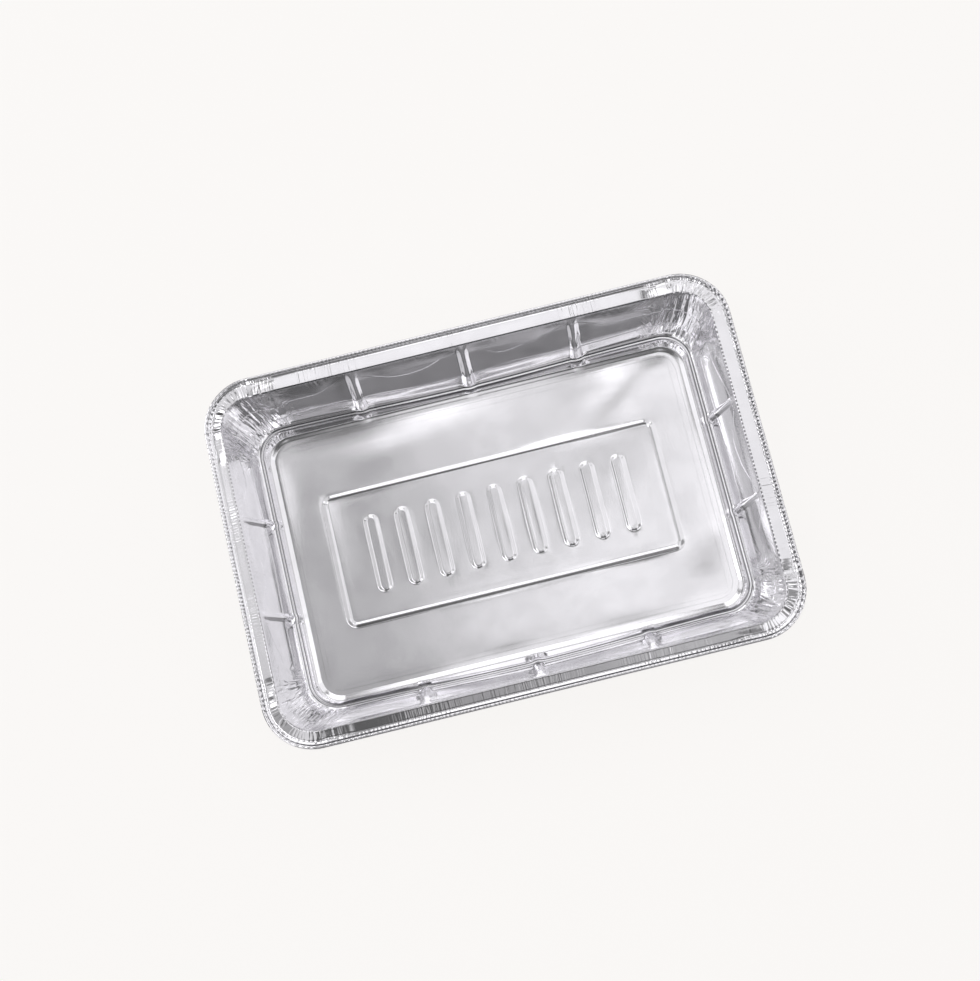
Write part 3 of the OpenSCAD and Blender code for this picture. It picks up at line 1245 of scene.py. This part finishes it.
    def net(
        self,
        stations: Stations,
        rows: np.ndarray,
        rings: np.ndarray,
        inward: np.ndarray,
        shares: dict[str, np.ndarray],
        seams: Seams,
    ) -> bpy.types.Mesh:
        """Join the rings and the floor into one net with its attributes.

        Args:
            stations: The stations round the pan.
            rows: The section.
            rings: The rings' points.
            inward: The inward directions.
            shares: The shares of the pressed forms.
            seams: Where the sharp bends of the section lie.

        Returns:
            The net, one layer thick.
        """
        count, around = rings.shape[:2]
        floor_points, floor_faces = self.floor(rings[-1, :, :2])
        inner = floor_points[around:]
        points = np.vstack([rings.reshape(-1, 3), inner])
        start = (count - 1) * around
        steps = [(j, (j + 1) % around) for j in range(around)]
        faces = [
            (here + a, here + b, here + around + b, here + around + a)
            for here in range(0, start, around) for a, b in steps
        ]
        faces += [tuple(start + v for v in face) for face in floor_faces]
        mesh = bpy.data.meshes.new("foil_sheet_net")
        mesh.from_pydata((points * MM).tolist(), [], faces)
        mesh.polygons.foreach_set("use_smooth", [True] * len(mesh.polygons))
        on_floor = {
            "floor_share": np.array([self.flatness(x, y) for x, y, _ in inner]),
            "swell": np.array([self.slump.swell_height(x, y) for x, y, _ in inner]),
        }
        nothing = np.zeros(len(inner))
        for name, table in self.tables(stations, rows, rings, shares, seams).items():
            layer = mesh.attributes.new(name, "FLOAT", "POINT")
            values = np.concatenate([table.ravel(), on_floor.get(name, nothing)])
            layer.data.foreach_set("value", values.astype(np.float32))
        layer = mesh.attributes.new("inward", "FLOAT_VECTOR", "POINT")
        vectors = np.vstack([inward.reshape(-1, 3), np.zeros((len(inner), 3))])
        layer.data.foreach_set("vector", vectors.ravel().astype(np.float32))
        mesh.update()
        return mesh

    def tables(
        self,
        stations: Stations,
        rows: np.ndarray,
        rings: np.ndarray,
        shares: dict[str, np.ndarray],
        seams: Seams,
    ) -> dict[str, np.ndarray]:
        """Return the attributes of the rings' points.

        Args:
            stations: The stations round the pan.
            rows: The section.
            rings: The rings' points.
            shares: The shares of the pressed forms.
            seams: Where the sharp bends of the section lie.

        Returns:
            A table for each attribute, with a row for each ring and a column for each station.
        """
        s, slump = self.sizes, self.slump
        every_ring, every_station = np.ones(len(rows)), np.ones(len(stations.side))
        middle = rings[np.argmin(abs(rows[:, 0] - s.crest_inset - self.loop_depth))]
        loop, run = section_run(middle), section_run(rows)
        gathered, away = self.gathered(stations), self.corner_gap(stations)
        softness = slump.round_the_loop(slump.softness, stations)
        scales = {
            "fold_share": gathered * slump.round_the_loop(slump.pleating, stations),
            "crimp_share": gathered,
            "dent_share": softness * (1.0 - 0.75 * gathered),
            "edge_share": slump.round_the_loop(slump.edge_teeth, stations),
            "wall_share": slump.round_the_loop(slump.streaking, stations),
            "rib_share": np.where(stations.short, s.short_rib_height / s.rib_height, 1.0),
        }
        tables = {
            name: np.outer(share, scales.get(name, every_station)) for name, share in shares.items()
        }
        creasing = slump.round_the_loop(slump.creasing, stations)
        tables["crease_share"] = np.outer(shares["wall_share"], creasing)
        everywhere = {
            "gathered": gathered,
            "corner_gap": np.maximum(away, 0.0),
            "corner_lean": np.clip(away / self.lean_fade, 0.0, 1.0) * np.sign(stations.along),
            # strengths of the painted shade at the crest and of its dotting, round the loop
            "painted_crest_shade": slump.round_the_loop(slump.painted_crest_shade, stations),
            "dotted_painted_shade": slump.round_the_loop(slump.dotted_painted_shade, stations),
            "loop": loop,
            "floor_share": np.zeros(len(loop)),
            "swell": np.zeros(len(loop)),
        }
        tables.update({name: np.outer(every_ring, values) for name, values in everywhere.items()})
        tables.update(self.panels(stations, loop, rows[:, 0], run - seams.crest))
        tables["bulge_share"] *= softness
        narrowing = np.where(stations.short, s.rib_width / s.short_rib_width, 1.0)
        flare = np.interp(rows[:, 0], (s.foot_inset - 5.0, s.foot_inset), (1.0, stations.rib_flare))
        tables["rib_gap"] = np.outer(1.0 / flare, stations.rib_gap * narrowing)
        tables["section"] = np.outer(run, every_station)
        return tables

    def panels(
        self, stations: Stations, loop: np.ndarray, insets: np.ndarray, down: np.ndarray
    ) -> dict[str, np.ndarray]:
        """Return where the wall panels between the ribs bulge and crease.

        Args:
            stations: The stations round the pan.
            loop: The stations' distances round the loop.
            insets: The rings' insets.
            down: The rings' distances down the wall from the crest.

        Returns:
            The bulge's share and the distances from the two creases.
        """
        panel, on_wall = self.panel, down >= 0.0
        span = np.clip(stations.rib_gap / panel.span, 0.0, 1.0)
        wander = np.sin(loop / 7.3) + np.sin(loop / 3.1 + 2.0) * 0.5
        fold = panel.crease_start + panel.crease_sag * smooth(span) + panel.crease_wander * wander
        wall = float(np.interp(self.sizes.foot_inset - 0.6, insets[on_wall], down[on_wall]))
        above = down[:, None] / fold[None, :]
        below = (wall - down[:, None]) / (wall - fold[None, :])
        tent = np.clip(np.minimum(above, below), 0.0, 1.0)
        rise = smooth(stations.rib_gap / panel.rise) * (1.0 - self.gathered(stations))
        low = wall - panel.bend_above_foot + panel.bend_wander * np.sin(loop / 11.0)
        return {
            "bulge_share": tent * rise[None, :],
            "panel_gap": down[:, None] - fold[None, :],
            "bend_gap": down[:, None] - low[None, :],
        }

    def corner_gap(self, stations: Stations) -> np.ndarray:
        """Return how far each station is from the nearest corner, less than 0 in its pull.

        Args:
            stations: The stations round the pan.

        Returns:
            One distance for each station.
        """
        run = np.where(stations.short, self.sizes.width, self.sizes.length) / 2
        start = run - self.sizes.foot_inset - self.sizes.foot_corner
        away = start - abs(stations.along) - stations.stretch * self.pull_run
        return np.where(stations.in_corner, 0.0, away)

    def gathered(self, stations: Stations) -> np.ndarray:
        """Return how much each station belongs to a corner."""
        away = self.corner_gap(stations)
        return np.where(stations.in_corner, 1.0, smooth(1.0 - away / self.gather_fade) * 0.9)

    def floor(self, edge: np.ndarray) -> tuple[np.ndarray, list[tuple[int, ...]]]:
        """Triangulate the flat floor with its bead and bars.

        Args:
            edge: The loop of the last ring, which bounds the floor.

        Returns:
            The floor's points, starting with that loop, and its triangles.
        """
        loops = [edge, *self.bead_loops(), *self.bar_loops()]
        points = [Vector(p) for loop in loops for p in loop]
        lines: list[tuple[int, int]] = []
        start = 0
        for loop in loops:
            lines += [(start + k, start + (k + 1) % len(loop)) for k in range(len(loop))]
            start += len(loop)
        half_x, half_y = edge[:, 0].max() - 2.5, abs(edge[:, 1]).max() - 2.5
        for x in np.arange(-half_x, half_x, self.grid):
            for y in np.arange(-half_y, half_y, self.grid):
                if self.is_plain(x, y):
                    points.append(Vector((x, y)))
        verts, _, faces, origins, _, _ = delaunay_2d_cdt(points, lines, [], 1, 1e-5)
        order = {source: k for k, group in enumerate(origins) for source in group}
        ring = [order[k] for k in range(len(edge))]
        rest = [k for k in range(len(verts)) if k not in set(ring)]
        place = {old: new for new, old in enumerate(ring + rest)}
        flat = np.array([verts[k] for k in ring + rest])
        heights = np.array([self.emboss(x, y) for x, y in flat])
        triangles = [tuple(place[v] for v in face) for face in faces]
        return np.column_stack([flat, heights]), triangles

    def frame_offset(self, x: float, y: float) -> float:
        """Return the distance of a point from the crest of the frame's bead, outwards.

        Args:
            x: The place along X.
            y: The place along Y.

        Returns:
            The distance in millimetres, less than 0 inside the frame.
        """
        s = self.sizes
        shift_x, shift_y = self.slump.frame_shift
        return self.box_distance(
            x - shift_x, y + self.slump.floor_shift - shift_y,
            s.frame_length / 2, s.frame_width / 2, s.frame_corner)

    @staticmethod
    def box_distance(x: float, y: float, half_x: float, half_y: float, corner: float) -> float:
        """Return the distance of a point from a rounded rectangle, less than 0 inside.

        Args:
            x: The place along X.
            y: The place along Y.
            half_x: Half its length along X.
            half_y: Half its length along Y.
            corner: Its corner radius.

        Returns:
            The distance.
        """
        dx, dy = abs(x) - half_x + corner, abs(y) - half_y + corner
        outside = math.hypot(max(dx, 0.0), max(dy, 0.0))
        return outside + min(max(dx, dy), 0.0) - corner

    def bar_centres(self) -> list[tuple[float, float]]:
        """Return the middles of the stiffening bars.

        Returns:
            The middles, from left to right.
        """
        s = self.sizes
        shift_x, shift_y = self.slump.frame_shift
        return [
            (s.bar_pitch * (k - (s.bars - 1) / 2) + shift_x, shift_y - self.slump.floor_shift)
            for k in range(s.bars)
        ]

    def bar_offset(self, x: float, y: float) -> float:
        """Return the distance of a point from the nearest bar's foot, less than 0 inside.

        Args:
            x: The place along X.
            y: The place along Y.

        Returns:
            The distance in millimetres.
        """
        s = self.sizes
        return min(
            self.box_distance(x - cx, y - cy, s.bar_width / 2, s.bar_length / 2, s.bar_width / 2)
            for cx, cy in self.bar_centres()
        )

    def is_plain(self, x: float, y: float) -> bool:
        """Whether a grid point keeps clear of the embossing's own loops."""
        return abs(self.frame_offset(x, y)) > self.sizes.bead_width and self.bar_offset(x, y) > 1.0

    def flatness(self, x: float, y: float) -> float:
        """Return how far a point of the floor is from anything drawn, from 0 to 1.

        Args:
            x: The place along X.
            y: The place along Y.

        Returns:
            The share, 1 where the floor is flat.
        """
        s = self.sizes
        edge = min(s.length / 2 - abs(x), s.width / 2 - abs(y)) - s.floor_inset
        bead = abs(self.frame_offset(x, y)) - s.bead_width / 2
        bar = abs(self.bar_offset(x, y) + s.bar_side / 2) - s.bar_side / 2
        drawn = min(bead, bar)
        return float(smooth(np.array(min(edge / 7.0, drawn / 0.8))))

    def emboss(self, x: float, y: float) -> float:
        """Return the height of the embossed floor at a point.

        Args:
            x: The place along X.
            y: The place along Y.

        Returns:
            The height in millimetres.
        """
        s = self.sizes
        bead = np.interp(
            self.frame_offset(x, y), (-s.bead_inside, -0.12, 0.0, s.bead_width / 2),
            (s.panel_rise, s.bead_height, s.bead_height, 0.0))
        bar = np.interp(self.bar_offset(x, y), (-s.bar_side, 0.0), (s.bar_height, 0.0))
        return s.floor_z + float(bead) + float(bar)

    def bead_loops(self) -> list[np.ndarray]:
        """Return the loops that carry the frame's bead.

        Returns:
            One loop of points for each line of the bead.
        """
        s = self.sizes
        shift_x, shift_y = self.slump.frame_shift
        inside, outside = s.bead_inside, s.bead_width / 2
        offsets = (-inside - 0.4, -inside - 0.06, -inside + 0.06, -0.55, -0.2, -0.08, 0.06,
                   0.45, 0.9, outside - 0.1, outside + 0.1, outside + 0.45)
        middle_y = shift_y - self.slump.floor_shift
        half_x, half_y = s.frame_length / 2, s.frame_width / 2
        return [
            self.loop(shift_x, middle_y, half_x + d, half_y + d, s.frame_corner + d, 8, 2.6)
            for d in offsets
        ]

    def bar_loops(self) -> list[np.ndarray]:
        """Return the loops that carry the bars' sides.

        Returns:
            One loop of points for each line of each bar.
        """
        s = self.sizes
        insets = np.array((-0.45, -0.08, 0.08, 0.5, 0.92, 1.08, 1.45)) * s.bar_side
        half_x, half_y, flat_end = s.bar_width / 2, s.bar_length / 2, 0.02
        return [
            self.loop(cx, cy, half_x - d, half_y - d, half_x - d - flat_end, 8, 3.0)
            for cx, cy in self.bar_centres() for d in insets
        ]

    @staticmethod
    def loop(
        cx: float, cy: float, half_x: float, half_y: float, corner: float, steps: int, spacing: float
    ) -> np.ndarray:
        """Return a rounded rectangle of points, with its straight runs divided.

        Args:
            cx: The middle along X.
            cy: The middle along Y.
            half_x: Half the length along X.
            half_y: Half the length along Y.
            corner: The corner radius.
            steps: Steps round a corner.
            spacing: The longest step along a straight run.

        Returns:
            The loop's points.
        """
        arcs = []
        for quarter, (sx, sy) in enumerate(((1, 1), (-1, 1), (-1, -1), (1, -1))):
            turns = np.radians(90 * quarter + np.linspace(0, 90, steps + 1))
            arcs.append(np.stack([
                cx + sx * (half_x - corner) + corner * np.cos(turns),
                cy + sy * (half_y - corner) + corner * np.sin(turns)], axis=1))
        points: list[np.ndarray] = []
        for arc, following in zip(arcs, arcs[1:] + arcs[:1]):
            length = float(np.linalg.norm(following[0] - arc[-1]))
            spans = max(1, round(length / spacing))
            points += [*arc, *spread(arc[-1], following[0], spans)]
        return np.array(points)

    @staticmethod
    def baked(piece: bpy.types.Object, name: str) -> bpy.types.Object:
        """Turn a piece's evaluated form into a plain mesh and drop its modifiers.

        Args:
            piece: The piece with its modifiers.
            name: The name of the result.

        Returns:
            The plain piece.
        """
        graph = bpy.context.evaluated_depsgraph_get()
        mesh = bpy.data.meshes.new_from_object(piece.evaluated_get(graph), depsgraph=graph)
        mesh.name = name
        bpy.data.objects.remove(piece, do_unlink=True)
        done = bpy.data.objects.new(name, mesh)
        bpy.context.scene.collection.objects.link(done)
        return done


@dataclass(frozen=True)
class Softbox:
    """A square lamp on a dome round the pan."""

    name: str
    azimuth: float
    elevation: float
    size: float
    power: float
    distance: float = 1.3
    tint: tuple[float, float, float] = (1.0, 0.99, 1.012)

    def place(self) -> bpy.types.Object:
        """Hang the lamp and turn it to the pan.

        Returns:
            The lamp.
        """
        lamp = bpy.data.lights.new(self.name, "AREA")
        lamp.shape = "SQUARE"
        lamp.size = self.size
        lamp.energy = self.power
        lamp.color = self.tint
        piece = bpy.data.objects.new(self.name, lamp)
        a, e = math.radians(self.azimuth), math.radians(self.elevation)
        towards = Vector((math.sin(a) * math.cos(e), math.cos(a) * math.cos(e), math.sin(e)))
        piece.location = towards * self.distance
        piece.rotation_euler = towards.to_track_quat("Z", "Y").to_euler()
        bpy.context.scene.collection.objects.link(piece)
        return piece


@dataclass(frozen=True)
class Studio:
    """The pale floor, the lamps and the camera."""

    paper: tuple[float, float, float] = (0.956, 0.939, 0.922)
    matt: tuple[float, float, float] = (0.9, 0.885, 0.87)
    half: float = 3.0
    shadow_share: float = 0.12
    glow: float = 1.04
    dome: float = 0.10
    lamps: tuple[Softbox, ...] = (
        Softbox("overhead", 0.0, 82.6, 0.2, 0.10),
        Softbox("overhead_far_left", -43.0, 77.6, 0.2, 0.04),
        Softbox("overhead_far_right", 43.0, 77.6, 0.2, 0.12),
        Softbox("upper_far", 0.0, 73.3, 0.2, 0.08),
        Softbox("upper_far_right", 23.4, 71.9, 0.2, 0.02),
        Softbox("high_far", 0.0, 62.0, 0.36, 0.54),
        Softbox("high_far_right", 50.0, 64.0, 0.42, 0.48),
        Softbox("high_right", 90.0, 66.0, 0.45, 0.45),
        Softbox("high_near_right", 125.0, 64.0, 0.42, 0.55),
        Softbox("high_near_left", 235.0, 64.0, 0.42, 0.55),
        Softbox("high_left", 270.0, 66.0, 0.42, 1.00),
        Softbox("high_far_left", 305.0, 64.0, 0.42, 0.50),
        Softbox("mid_far", 0.0, 43.0, 0.55, 0.82),
        Softbox("mid_far_right", 35.0, 43.0, 0.55, 0.77),
        Softbox("mid_right_far", 70.0, 43.0, 0.55, 0.78),
        Softbox("mid_right_near", 105.0, 43.0, 0.55, 0.22),
        Softbox("mid_near_right", 140.0, 41.0, 0.55, 0.99),
        Softbox("mid_near", 180.0, 36.0, 0.55, 0.15),
        Softbox("mid_near_left", 220.0, 41.0, 0.55, 0.61),
        Softbox("mid_left_near", 255.0, 43.0, 0.55, 0.28),
        Softbox("mid_left_far", 288.0, 40.0, 0.5, 0.46),
        Softbox("mid_far_left", 325.0, 43.0, 0.55, 0.65),
        Softbox("low_far", 0.0, 22.0, 0.7, 1.13),
        Softbox("low_right_far", 60.0, 20.0, 0.7, 1.45),
        Softbox("low_right_near", 120.0, 20.0, 0.7, 1.38),
        Softbox("low_left_near", 240.0, 20.0, 0.7, 1.59),
        Softbox("low_left_far", 300.0, 20.0, 0.7, 3.08),
        Softbox("upper_near_right", 168.0, 70.0, 0.22, 0.10),
        Softbox("upper_near_left", 192.0, 70.0, 0.22, 0.06),
        Softbox("overhead_near", 180.0, 79.0, 0.2, 0.08),
        Softbox("upper_near", 180.0, 75.0, 0.35, 0.10),
        Softbox("near_strip", 180.0, 51.0, 0.25, 0.055),
        Softbox("near_strip_right", 166.0, 52.0, 0.2, 0.05),
        Softbox("high_far_inner_left", 332.0, 63.0, 0.28, 0.05),
    )
    elevation: float = 77.3
    roll: float = 13.71
    distance: float = 0.79
    scale: float = 2.4425
    picture: tuple[float, float] = (980.0, 981.0)
    centre: tuple[float, float] = (503.1, 520.2)

    def build(self) -> None:
        """Set the whole studio up."""
        scene = bpy.context.scene
        scene.view_settings.view_transform = "Standard"
        self.world(scene)
        self.floor()
        for lamp in self.lamps:
            lamp.place()
        self.camera(scene)
        LOG.info("studio: %d lamps", len(self.lamps))

    def world(self, scene: bpy.types.Scene) -> None:
        """Light the dome evenly and show the camera the paper's colour.

        Args:
            scene: The scene.
        """
        world = bpy.data.worlds.new("dome")
        world.use_nodes = True
        world.node_tree.nodes.clear()
        tree = Tree(world.node_tree)
        seen = tree.node("ShaderNodeLightPath").outputs["Is Camera Ray"]
        dim = tree.node("ShaderNodeBackground", {}, {"Color": (1.0, 1.0, 1.0, 1.0), "Strength": self.dome})
        pale = tree.node("ShaderNodeBackground", {}, {"Color": (*self.paper, 1.0), "Strength": 1.0})
        mixed = tree.node("ShaderNodeMixShader", {}, {0: seen, 1: dim.outputs[0], 2: pale.outputs[0]})
        tree.node("ShaderNodeOutputWorld", {}, {"Surface": mixed.outputs[0]})
        scene.world = world

    def floor(self) -> None:
        """Lay the pale floor, which keeps a light shadow of the pan."""
        corners = [(x * self.half, y * self.half, 0.0) for x, y in ((-1, -1), (1, -1), (1, 1), (-1, 1))]
        mesh = bpy.data.meshes.new("paper_floor")
        mesh.from_pydata(corners, [], [(0, 1, 2, 3)])
        material = bpy.data.materials.new("paper")
        material.use_nodes = True
        material.node_tree.nodes.clear()
        tree = Tree(material.node_tree)
        path = tree.node("ShaderNodeLightPath")
        mirrored = Value(tree, path.outputs["Is Glossy Ray"])
        seen = Value(tree, path.outputs["Is Camera Ray"]).math("MAXIMUM", mirrored)
        matt = tree.node("ShaderNodeBsdfDiffuse", {}, {"Color": (*self.matt, 1.0)})
        glow = tree.node("ShaderNodeEmission", {}, {"Color": (*self.paper, 1.0), "Strength": self.glow})
        share = seen * (1.0 - self.shadow_share)
        mixed = tree.node("ShaderNodeMixShader", {}, {0: share, 1: matt.outputs[0], 2: glow.outputs[0]})
        tree.node("ShaderNodeOutputMaterial", {}, {"Surface": mixed.outputs[0]})
        mesh.materials.append(material)
        piece = bpy.data.objects.new("paper_floor", mesh)
        bpy.context.scene.collection.objects.link(piece)

    def camera(self, scene: bpy.types.Scene) -> None:
        """Put the camera where the photograph was taken from.

        Args:
            scene: The scene.
        """
        e = math.radians(self.elevation)
        away = Vector((0.0, -math.cos(e), math.sin(e)))
        right, up = Vector((1.0, 0.0, 0.0)), Vector((0.0, math.sin(e), math.cos(e)))
        r = math.radians(self.roll)
        across = right * math.cos(r) - up * math.sin(r)
        above = right * math.sin(r) + up * math.cos(r)
        spin = Matrix((across, above, away)).transposed()
        data = bpy.data.cameras.new("camera")
        data.sensor_width = 36.0
        pixels = self.scale / MM * self.distance
        data.lens = pixels * data.sensor_width / max(self.picture)
        data.clip_start = 0.01
        data.clip_end = 20.0
        aim_x = (self.picture[0] / 2 - self.centre[0]) / pixels
        aim_y = (self.centre[1] - self.picture[1] / 2) / pixels
        turn = Matrix.Rotation(-math.atan(aim_x), 3, "Y") @ Matrix.Rotation(math.atan(aim_y), 3, "X")
        piece = bpy.data.objects.new("camera", data)
        piece.matrix_world = Matrix.Translation(away * self.distance) @ (spin @ turn).to_4x4()
        scene.collection.objects.link(piece)
        scene.camera = piece


def main() -> None:
    """Build the pan and its studio, and report each piece."""
    logging.basicConfig(level=logging.INFO, format="%(name)s: %(message)s")
    low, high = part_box(NODE)
    sizes = PanSizes.from_box(low, high)
    sheet = FoilSheet(sizes, GatherSizes(), Slump(), FoilFinish()).build()
    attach(sheet, "root")
    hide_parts(NODE)
    Studio().build()


if __name__ == "__main__":
    main()
